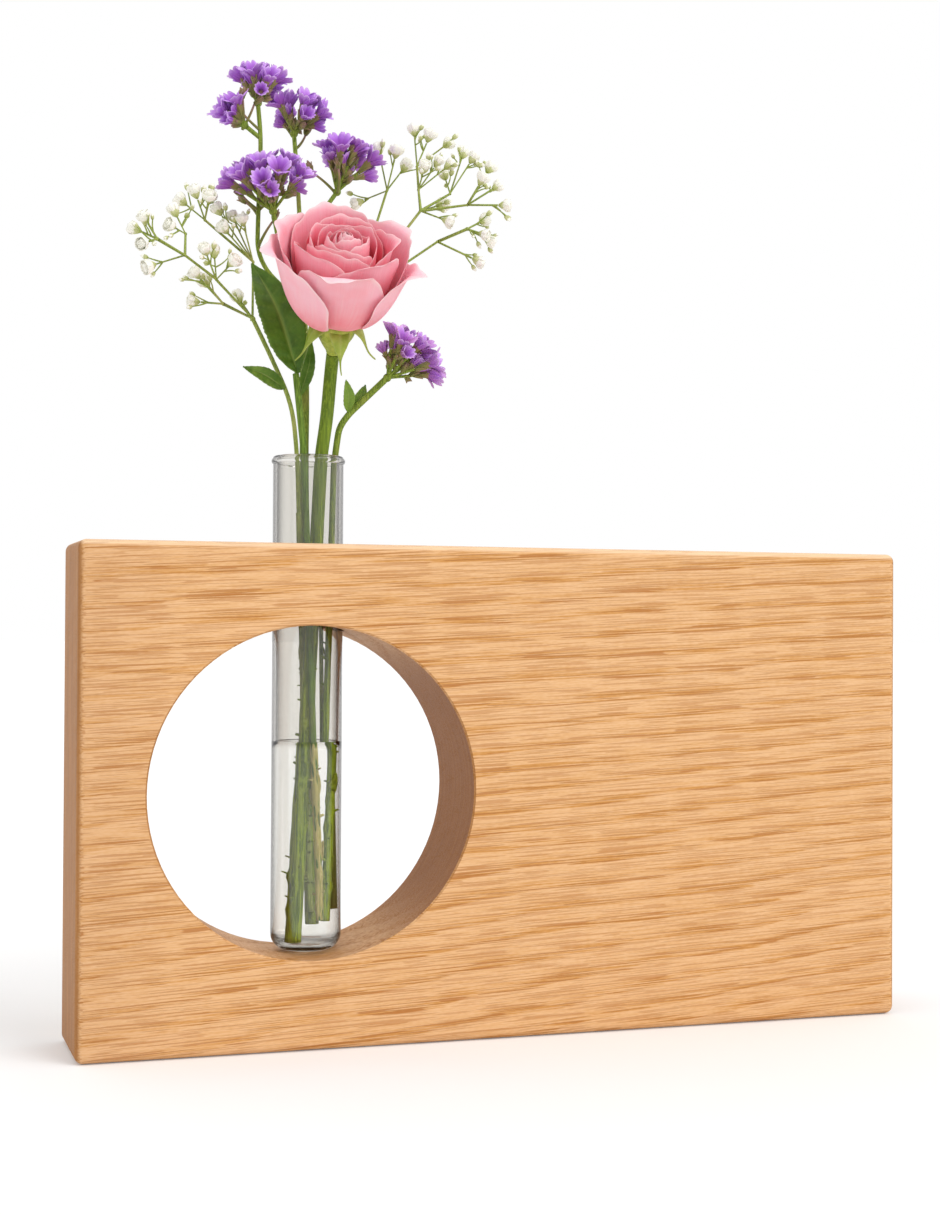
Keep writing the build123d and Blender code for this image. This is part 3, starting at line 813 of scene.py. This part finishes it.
def petal_profile(outward, curl, lift):
    """A petal's middle line, from foot to curled lip: distances from the axis and heights."""
    far = max(outward, 0.0)
    foot = np.array((1.2 + 5.0 * outward, -12 - 7.3 * far))
    belly = np.array((4.5 + 12.5 * outward, -8 - 9.5 * far))
    shoulder = np.array((4.6 + 13.4 * outward, 5 - 10 * far))
    lip = np.array((1.7 + 19.4 * outward, 9.8 - 5.3 * far**1.5 + lift))
    share = np.linspace(0, 1, 60)[:, None]
    rest = 1 - share
    line = rest**3 * foot + 3 * rest**2 * share * belly + 3 * rest * share**2 * shoulder + share**3 * lip
    rising = math.atan2(lip[1] - shoulder[1], lip[0] - shoulder[0])
    turns = np.linspace(0.02, max(curl, 0.04), 24)
    ways = np.stack((np.cos(rising - turns), np.sin(rising - turns)), axis=1)
    run = lip_curl_radius * (turns[1] - turns[0])
    tail = line[-1] + np.cumsum(ways, axis=0) * run
    return np.concatenate((line, tail, tail[-1:] + tip_reach * ways[-1:]))


def petal_outline(across, skew, far, point_share, phase):
    """How far along a petal's middle line its ragged lip reaches, as a share."""
    skewed = across + skew
    outline = 1 - (0.15 + 0.22 * far**2) * np.abs(skewed) ** 2.3
    outline += 0.015 * far * np.exp(-((skewed / 0.13) ** 2))
    outline += point_share * np.clip(1 - np.abs(skewed) / 0.3, 0, 1) ** 1.4
    ragged = 0.008 + 0.012 * far
    return outline + ragged * (np.sin(9 * across + phase) + 0.8 * np.sin(19 * across + 2 * phase))


def petal_offset(across, along, far, phase):
    """How far a petal stands off its shell: tucked sides, a ruffled lip and a shallow dent."""
    wave = 0.12 + 0.7 * far
    ruffle = wave * smooth(along, 0.62, 1.0) * np.sin(4.2 * across + phase) * 0.5
    ruffle += 0.32 * wave * smooth(along, 0.75, 1.0) * np.sin(9.5 * across + 1.7 * phase)
    roll = 1.4 * smooth(far, 0.93, 0.97) * np.abs(across) ** 5 * smooth(along, 0.35, 0.85)
    dent = -0.25 * far * np.exp(-((across / 0.5) ** 2)) * np.sin(math.pi * along)
    return petal_tuck * across + ruffle + roll + dent


def add_petal(shape, number, turn, half_width, curl_share=1.0, point_share=0.0, lift=0.0):
    """One petal as a cupped, wavy sheet on its own shell about the bloom's axis."""
    across, along = sheet_grid(33, 28)
    side = np.abs(across)
    outward = number / (petal_count - 1)
    far = max(outward, 0.0)
    curl = math.radians(lip_curl_angle) * float(smooth(outward, 0.25, 0.95)) * curl_share
    line = petal_profile(outward, curl * uniform(0.9, 1.1), lift + uniform(-0.3, 0.3))
    lengths = np.concatenate(((0.0,), np.cumsum(np.linalg.norm(np.diff(line, axis=0), axis=1))))
    headings = np.unwrap(np.arctan2(np.gradient(line[:, 1]), np.gradient(line[:, 0])))
    skew = uniform(-0.09, 0.09)
    phase = uniform(0, FULL_TURN)
    outline = petal_outline(across, skew, far, point_share, phase)
    reach = along * outline * lengths[-2]
    out = np.interp(reach, lengths, headings) - math.pi / 2
    offset = petal_offset(across, along, far, phase)
    away = np.interp(reach, lengths, line[:, 0]) + offset * np.cos(out)
    height = np.interp(reach, lengths, line[:, 1]) + offset * np.sin(out)
    width = math.radians(half_width) * (0.5 + 0.5 * smooth(along, 0.0, 0.55))
    points = turned(away, math.radians(turn) + across * width, height)
    edge = np.maximum(smooth(along, 0.93, 1.0), smooth(side, 0.95, 1.0) * smooth(along, 0.3, 0.6))
    thin = np.maximum(smooth(along, 0.7, 1.0), smooth(side, 0.8, 1.0))
    thickness = petal_thickness * (1 - 0.65 * thin)
    shape.sheet(points, (far, edge), thickness, (0, 1), outline.clip(0, 1))


def add_sepal(shape, turn, length, tip_curl):
    """A pointed green sepal that droops from the hip's rim and curls at its thin tip."""
    across, along = sheet_grid(9, 24)
    line = along[:, :1]
    droop = np.radians(-24 - 46 * smooth(line, 0.0, 0.45) + tip_curl * smooth(line, 0.6, 1.0))
    run = length / (len(line) - 1)
    half = 2.5 * (1 - smooth(along, 0.12, 0.72)) + 0.5 * (1 - along) + 0.12
    cup = -0.12 * half * across**2
    square = droop + math.pi / 2
    away = hip_rim_radius + np.cumsum(np.cos(droop), axis=0) * run + cup * np.cos(square)
    height = -hip_drop + np.cumsum(np.sin(droop), axis=0) * run + cup * np.sin(square)
    side = across * half
    cosine, sine = math.cos(turn), math.sin(turn)
    points = np.stack((away * cosine - side * sine, away * sine + side * cosine, height), axis=2)
    rib = smooth(0.25 - np.abs(across), 0.0, 0.2)
    edge = smooth(np.abs(across), 0.85, 1.0)
    shape.sheet(points, (0.4 * rib, edge), sepal_thickness, (1, 1))


def make_calyx(hip, centre, axes, materials):
    """The rose's swollen hip and its five sepals."""
    shape = Shape()
    base = -np.linalg.norm(centre - hip)
    angle, share = ring_grid(60, 18)
    radius = np.interp(share, *np.array(hip_profile).T)
    radius = radius * (1 + 0.025 * np.cos(5 * angle) * np.sin(math.pi * share))
    height = base + share * (1.2 - hip_drop - base)
    shape.lathe(turned(radius, angle, height))
    for number in range(sepal_count):
        turn = math.radians(sepal_turn + number * 360 / sepal_count)
        add_sepal(shape, turn, uniform(13.0, 16.0), uniform(10, 95))
    shape.carry(centre, axes)
    shape.piece("rose_hip", materials, ("rose_calyx",), levels=1)


def make_rose(hip_green, sepal_green):
    hip, centre, axes = bloom_frame()
    lip = (1.0, 0.78, 0.77)
    # The deep colours at the petals' bases are painted shade and glow of the crevices between petals,
    # deepest on the inner sides.
    outside = petal_material("petal_outside", (1.0, 0.17, 0.22), (1.0, 0.36, 0.45), (1.0, 0.55, 0.63), lip)
    inside = petal_material("petal_inside", (1.0, 0.055, 0.09), (1.0, 0.3, 0.41), (1.0, 0.53, 0.62), lip)
    for name, node, petals in (
        ("rose_outer_whorl", "rose_outer_petals", outer_petals),
        ("rose_middle_whorl", "rose_middle_petals", middle_petals),
        ("rose_inner_whorl", "rose_inner_petals", inner_petals),
        ("rose_heart_whorl", "rose_heart", heart_petals),
    ):
        shape = Shape()
        for petal in petals:
            add_petal(shape, *petal)
        shape.carry(centre, axes)
        shape.piece(name, [outside, inside], (node,), levels=1)
    make_calyx(hip, centre, axes, [hip_green, sepal_green])


# Leaves
def add_leaf(shape, base, tip, facing, width, teeth, arch, fold, stalk):
    """A lance-shaped blade with a folded midrib, side veins and fine teeth."""
    across, along = sheet_grid(25, 61)
    aside = np.abs(across)
    forward = unit(tip - base)
    base = base - leaf_overlap * forward
    length = np.linalg.norm(tip - base)
    side = unit(np.cross(forward, facing))
    up = np.cross(side, forward)
    swell = np.sin(math.pi * along**0.82) ** 0.85
    half = np.maximum(width / 2 * swell, stalk * (1 - 0.85 * smooth(along, 0.0, 0.14)))
    saw = (along * teeth) % 1.0
    half = half * (1 + 0.07 * (saw - 0.5) * smooth(aside, 0.6, 1) * smooth(along, 0.08, 0.2))
    slant = along - 0.2 * aside * width / length
    veins = np.abs(np.sin(math.pi * slant * leaf_side_veins))
    vein = smooth(0.22 - veins, 0.0, 0.2) * smooth(aside, 0.05, 0.2) * smooth(1 - aside, 0.05, 0.3)
    rib = smooth(0.13 - aside, 0.0, 0.1) * smooth(1 - along, 0.02, 0.2)
    phase = uniform(0, 6)
    lift = arch * np.sin(math.pi * along) + fold * aside * swell
    lift += 0.03 * width * np.sin(5 * along * math.pi + phase) * aside**2
    lift += 0.02 * width * (veins - 0.5) * smooth(aside, 0.08, 0.3) - 0.02 * width * rib
    bend = 0.035 * length * np.sin(math.pi * along) * np.sin(2.4 * along)
    points = np.asarray(base) + along[..., None] * length * forward
    points = points + (across * half + bend)[..., None] * side + lift[..., None] * up
    tint = (np.maximum(rib, 0.22 * vein), smooth(aside, 0.9, 1.0))
    shape.sheet(points, tint, leaf_thickness)


def leaf_piece(name, node, material, teeth, shares):
    """The blades that stand for a node's plain leaves, each along its own solid."""
    low, high = box_mm("test_tube")
    mouth = np.array((*(low + high)[:2] / 2, high[2]))
    arch_share, fold_share, stalk = shares
    shape = Shape()
    for points in solids(node):
        centre = points.mean(axis=0)
        _, _, ways = np.linalg.svd(points - centre, full_matrices=False)
        spread = (points - centre) @ ways.T
        ends = [centre + ways[0] * reach for reach in (spread[:, 0].min(), spread[:, 0].max())]
        base, tip = sorted(ends, key=lambda end: np.linalg.norm(end - mouth))
        facing = ways[2] if ways[2][1] < 0 else -ways[2]
        width = spread[:, 1].max() - spread[:, 1].min()
        length = np.linalg.norm(tip - base)
        add_leaf(shape, base, tip, facing, width, teeth, arch_share * length, fold_share * width, stalk)
    shape.piece(name, [material], (node,))


def make_leaves(dark, fresh):
    leaf_piece("rose_leaf", "large_leaf", dark, 26, (0.05, 0.12, 0.95))
    leaf_piece("stem_leaves", "small_leaves", fresh, 9, (0.08, 0.16, 0.45))
    leaf_piece("side_leaves", "statice_side_leaves", fresh, 7, (0.08, 0.16, 0.45))


# Parts that the small flowers share
def add_small_petal(shape, foot, axes, root, length, leans, half_width, crumple, notch, part):
    """A notched, creased petal that rises from its root, distance and height, and leans out."""
    across, along = sheet_grid(9, 9)
    half = half_width * (0.32 + 0.68 * smooth(along, 0.05, 0.8))
    outline = 1 - notch * np.exp(-((across / 0.2) ** 2)) - 0.17 * across**4
    reach = along * length * outline
    bend = leans[0] + (leans[1] - leans[0]) * along
    phase = uniform(0, 6)
    wave = crumple * along * (np.sin(7 * across + phase) + 0.5 * np.sin(15 * across + 2 * phase))
    away = root[0] + reach * np.sin(bend) - 0.15 * half_width * across**2 + wave
    height = root[1] + reach * np.cos(bend) + 0.4 * wave
    points = placed(np.stack((away, across * half, height), axis=2), foot, axes)
    crease = smooth(0.28 - np.abs(across), 0.0, 0.22) * (1 - 0.7 * along)
    tint = (crease, smooth(along, 0.85, 1.0))
    shape.sheet(points, tint, small_petal_thickness, (part, part))


def add_cup(shape, foot, axes, rows, size, lobes, part):
    """A ribbed cup or core of a flower, through (radius, height) rows."""
    angle, rim = ring_grid(20, len(rows))
    radii, heights = size * np.array(rows).T[..., None]
    rib = np.cos(lobes * angle)
    radius = radii * (1 + 0.09 * rib)
    height = heights + 0.2 * rib * smooth(rim, 0.5, 0.9)
    rings = placed(turned(radius, angle, height), foot, axes)
    shape.lathe(rings, smooth(rib, 0.2, 0.9), rng.random(), part)


def add_bract(shape, origin, axes, length, width, lean, part):
    """A small pointed scale that hugs the foot of a flower."""
    across, along = sheet_grid(7, 8)
    half = width / 2 * np.maximum(np.sin(math.pi * (0.12 + 0.86 * along)) ** 0.8, 0.04)
    away = 0.55 + lean * along**1.6 - 0.25 * across**2
    points = placed(np.stack((away, across * half, along * length), axis=2), origin, axes)
    tint = (1 - np.abs(across), smooth(along, 0.8, 1.0))
    shape.sheet(points, tint, bract_thickness, (part, part))


def add_twig(shape, start, end, radius, part):
    """A thin bowed twig from one point to another."""
    middle = (start + end) / 2 + 0.12 * np.linalg.norm(end - start) * leaning(end - start, math.pi / 2)
    angle, share = ring_grid(8, 7)
    line = share[..., None]
    path = start * (1 - line) ** 2 + 2 * middle * line * (1 - line) + end * line**2
    swell = radius * (1.1 - 0.35 * share)
    rings = path + swell[..., None] * about(angle, axes_about(end - start))
    shape.lathe(rings, part=part)


# Statice
def add_floret(shape, foot, axis, size, opening):
    """A statice floret: a ribbed cup with bracts and a trumpet of crinkled lobes."""
    spin = uniform(0, FULL_TURN)
    cup = [(0.45, 0.0), (0.62, 1.0), (0.85, 2.4), (1.1, 3.8), (1.2, 4.6), (0.8, 4.7)]
    add_cup(shape, foot, axes_about(axis, spin), cup, size, floret_lobes, 2)
    for number in range(floret_lobes):
        axes = axes_about(axis, spin + number * FULL_TURN / floret_lobes + uniform(-0.12, 0.12))
        lean = 0.42 * opening * uniform(0.75, 1.25)
        length = 6.6 * size * uniform(0.88, 1.1)
        root = (0.55 * size, 2.6 * size)
        leans = (0.2 * lean, 1.3 * lean)
        add_small_petal(shape, foot, axes, root, length, leans, 1.85 * size, 0.2 * size, 0.13, number % 2)
    for number in range(2):
        axes = axes_about(axis, spin + number * 3.1)
        add_bract(shape, foot, axes, uniform(2.6, 4.2) * size, 1.4 * size, 0.9 * size, 2)


def add_bud(shape, foot, axis, size):
    """A closed bud of statice, wrapped in brown scales."""
    spin = uniform(0, FULL_TURN)
    cup = [(0.3, 0.0), (0.7, 0.8), (0.85, 1.8), (0.6, 3.0), (0.2, 3.9)]
    add_cup(shape, foot, axes_about(axis, spin), cup, size, 3, 2)
    for number in range(3):
        axes = axes_about(axis, spin + number * 2.1)
        add_bract(shape, foot, axes, uniform(2.4, 3.8) * size, 1.3 * size, 0.6 * size, 2)


def meeting_point(lines):
    """The point nearest to all lines, each a place and a direction."""
    across = [np.eye(3) - np.outer(way, way) for _, way in lines]
    target = sum(flat @ place for flat, (place, _) in zip(across, lines))
    return np.linalg.solve(sum(across), target)


def make_statice():
    violet, lilac, mauve, bract = (floret_material(name, *tones) for name, tones in statice_tones.items())
    for head in ("top", "left", "middle", "right", "large", "side"):
        node = f"statice_{head}_florets"
        shape = Shape()
        stalks = [(foot, -facing) for foot, facing in discs(node, stalk_widest)]
        hub = meeting_point(stalks)
        for foot, axis in stalks:
            add_floret(shape, foot, axis, uniform(0.95, 1.1), uniform(0.75, 1.2))
            start = hub + (foot - hub) * uniform(0.5, 0.9)
            way = leaning(axis, uniform(0.35, 0.7))
            add_floret(shape, start, way, uniform(0.7, 0.9), uniform(0.5, 1.0))
            start = hub + (foot - hub) * uniform(0.3, 0.8)
            add_bud(shape, start, leaning(axis, uniform(0.5, 1.0)), uniform(0.8, 1.1))
        lobes = [lilac, mauve] if head == "side" else [violet, lilac]
        shape.piece(f"statice_{head}_head", [*lobes, bract], (node,))
    make_side_buds(bract)


def make_side_buds(bract):
    """Brown buds on short side twigs along the upper part of the tall statice."""
    points, triangles = node_arrays("statice_tall_stem")
    corners = points[triangles]
    middles = corners.mean(axis=1)
    facing = triangle_ways(corners)
    spots = np.flatnonzero((middles[:, 2] > bud_low) & (middles[:, 2] < bud_high)).tolist()
    shape = Shape()
    for spot in rng.sample(spots, bud_count):
        out = unit(unit(facing[spot]) * np.array((1.0, 0.5, 0.2)) + np.array((0, 0, 0.7)))
        end = middles[spot] + out * uniform(5.0, 10.0)
        add_twig(shape, middles[spot] - 0.4 * out, end, bud_twig_radius, 2)
        for _ in range(2):
            add_bud(shape, end, leaning(out, uniform(0.1, 0.6)), uniform(0.7, 1.05))
    shape.piece("statice_side_buds", [bract] * 3)


# Gypsophila
def add_blossom(shape, foot, axis, size, openness):
    """A half-open double blossom: a green ribbed calyx and a rounded tuft of broad petals."""
    spin = uniform(0, FULL_TURN)
    cup = [(0.28, 0.0), (0.5, 0.3), (0.95, 0.9), (1.25, 1.5), (1.3, 2.0), (0.9, 2.1)]
    add_cup(shape, foot, axes_about(axis, spin), cup, size, 5, 1)
    core = [(0.6, 1.3), (1.15, 1.9), (1.3, 2.6), (1.1, 3.2), (0.6, 3.6), (0.2, 3.7)]
    add_cup(shape, foot, axes_about(axis, spin), core, size, 4, 0)
    for whorl, count in ((0, 6), (1, 4)):
        for number in range(count):
            turn = spin + FULL_TURN * (number + whorl * 0.5) / count + uniform(-0.12, 0.12)
            leans = ((1.05 - 0.5 * whorl) * openness, (0.45 - 0.3 * whorl) * openness)
            length = (3.0 - 0.1 * whorl) * size * uniform(0.94, 1.06)
            root = ((0.5 - 0.15 * whorl) * size, (0.9 + 0.2 * whorl) * size)
            half = (1.35 - 0.15 * whorl) * size
            add_small_petal(shape, foot, axes_about(axis, turn), root, length, leans, half, 0.02, 0.05, 0)


def add_green_bud(shape, foot, axis, size):
    """A closed bud of gypsophila with a cream tip."""
    axes = axes_about(axis, uniform(0, FULL_TURN))
    add_cup(shape, foot, axes, [(0.2, 0.0), (0.5, 0.35), (0.68, 0.9), (0.66, 1.4), (0.4, 1.6)], size, 5, 1)
    add_cup(shape, foot, axes, [(0.4, 1.1), (0.58, 1.5), (0.45, 2.0), (0.15, 2.3)], size, 3, 0)


def add_thinned(shape, node, share, part):
    """A node's own branching form, with each twig thinner by a share of its radius."""
    points, triangles = node_arrays(node)
    _, first, welded = np.unique(points.round(4), axis=0, return_index=True, return_inverse=True)
    body = bmesh.new()
    corners = [body.verts.new(point) for point in points[first].tolist()]
    for triangle in welded.ravel()[triangles].tolist():
        ends = [corners[corner] for corner in triangle]
        if len(set(triangle)) == 3 and body.faces.get(ends) is None:
            body.faces.new(ends)
    bmesh.ops.recalc_face_normals(body, faces=body.faces[:])
    body.normal_update()
    body.verts.index_update()
    tree = BVHTree.FromBMesh(body)
    moved = []
    for corner in corners:
        inward = -corner.normal
        depth = tree.ray_cast(corner.co + 0.01 * inward, inward, twig_deepest)[3] or 0.0
        moved.append(corner.co + 0.5 * share * depth * inward)
    faces = [tuple(corner.index for corner in face.verts) for face in body.faces]
    blank = np.zeros((len(moved), 3))
    shape.add(np.array(moved), blank, blank, faces, part)
    body.free()


def make_gypsophila(twig):
    cream = blossom_material("blossom_cream", (0.8, 0.8, 0.5), (1.0, 0.985, 0.9), (1.0, 1.0, 0.95))
    calyx = blossom_material("blossom_calyx", (0.36, 0.42, 0.1), (0.6, 0.62, 0.32), (0.5, 0.54, 0.2))
    for side in ("left", "right"):
        node = f"gypsophila_{side}_blossoms"
        stem = f"gypsophila_{side}_stem"
        shape = Shape()
        for foot, facing in discs(node, stalk_widest):
            axis = -facing
            add_blossom(shape, foot, axis, uniform(1.0, 1.2), uniform(0.7, 1.3))
            for _ in range(2):
                start = foot - axis * uniform(1.0, 3.5)
                way = leaning(axis, uniform(0.5, 0.95))
                end = start + way * uniform(3.0, 6.5)
                add_twig(shape, start, end, blossom_twig_radius, 2)
                add_green_bud(shape, end, way, uniform(0.7, 1.2))
        shape.piece(f"gypsophila_{side}_flowers", [cream, calyx, twig], (node,))
        twigs = Shape()
        add_thinned(twigs, stem, twig_loss, 0)
        twigs.piece(f"gypsophila_{side}_twigs", [twig], (stem,))


# Skins of the stems in the tube
def cut_end(node):
    """A stem's lowest flat end: its centre, the way up along the stem and its radius."""
    centre, facing = min(discs(node, cut_widest), key=disc_height)
    points, _ = node_arrays(node)
    spread = np.linalg.norm(points[np.abs((points - centre) @ facing) < 0.01] - centre, axis=1)
    return centre, -facing, spread[spread < cut_widest].max()


def skin_swell(angle, share, length):
    """A stem's ridges and knots, as shares of its radius."""
    phase = uniform(0, 6)
    swell = 1.05 + 0.04 * np.sin(23 * share + phase) + 0.05 * np.cos(5 * angle + phase + 4 * share)
    swell += 0.03 * np.sin(61 * share + 3 * angle)
    for _ in range(int(length / knot_spacing)):
        knot, side = rng.random(), uniform(0, FULL_TURN)
        near = np.exp(-(((share - knot) * length / 1.6) ** 2))
        swell += 0.4 * near * smooth(np.cos(angle - side), -0.2, 1.0)
    return swell + (0.96 - swell) * smooth(share, 0.93, 1.0)


def add_skin(shape, node, top, part):
    """A stem's living surface inside the tube: ridges, knots, bristles and leaf remnants."""
    axis = sum(box_mm("test_tube"))[:2] / 2
    foot, way, radius = cut_end(node)
    length = (top - foot[2]) / way[2]
    angle, share = ring_grid(skin_sides, skin_rows)
    swell = skin_swell(angle, share, length)
    line = foot - 0.06 * way + share[..., None] * length * way
    room = clear_radius - np.linalg.norm(line[..., :2] - axis, axis=2)
    thick = np.minimum(radius * swell, np.maximum(room, radius * 0.97))
    rings = line + thick[..., None] * about(angle, axes_about(way))
    shape.lathe(rings, part=part)
    for _ in range(int(length / bristle_spacing)):
        row, column = rng.randrange(6, 100), rng.randrange(skin_sides)
        root = rings[row, column]
        out = unit(root - line[row, column])
        tip = root + unit(out + uniform(0.1, 0.9) * way) * uniform(0.5, 1.7)
        if np.linalg.norm(tip[:2] - axis) < clear_radius - 0.3:
            add_twig(shape, root - 0.35 * out, tip, uniform(0.22, 0.5), part)
    for height in remnant_heights:
        row, column = int(skin_rows * height), rng.randrange(skin_sides)
        root, middle = rings[row, column], line[row, column]
        if np.linalg.norm(root[:2] - axis) < clear_radius - 2.6:
            out = unit(root - middle)
            add_bract(shape, middle, np.array((out, np.cross(way, out), way)), *remnant_size, part)


def make_skins(fresh, twig, pale):
    shape = Shape()
    for node, top, part in (
        ("rose_stem", skin_top, 0),
        ("statice_tall_stem", skin_top, 1),
        ("statice_side_stem", skin_top, 1),
        ("leaf_stem", water_level, 3),
        ("gypsophila_left_stem", skin_top, 2),
    ):
        add_skin(shape, node, top, part)
    # The rose and statice skins take the brightened stem greens, painted light for what the glass and
    # water take.
    shape.piece("stem_skins", [fresh, fresh, twig, pale])


bpy.context.scene.view_settings.view_transform = "Standard"
make_camera()
make_sky()
make_sun()
make_floor()
stems = {name: stem_material(name, *tones) for name, tones in stem_tones.items()}
leaves = {name: leaf_material(name, *tones) for name, tones in leaf_tones.items()}
dress("oak_board", oak_material())
dress("test_tube", glass_material())
dress("rose_stem", stems["rose_stem_green"])
dress("leaf_stem", stems["leaf_stem_green"])
dress("statice_tall_stem", stems["statice_stem_green"])
dress("statice_side_stem", stems["statice_stem_green"])
make_water()
make_skins(stems["fresh_stem"], stems["twig_green"], stems["pale_stem"])
make_rose(stems["hip_green"], leaves["sepal_green"])
make_leaves(leaves["leaf_dark"], leaves["leaf_fresh"])
make_statice()
make_gypsophila(stems["twig_green"])
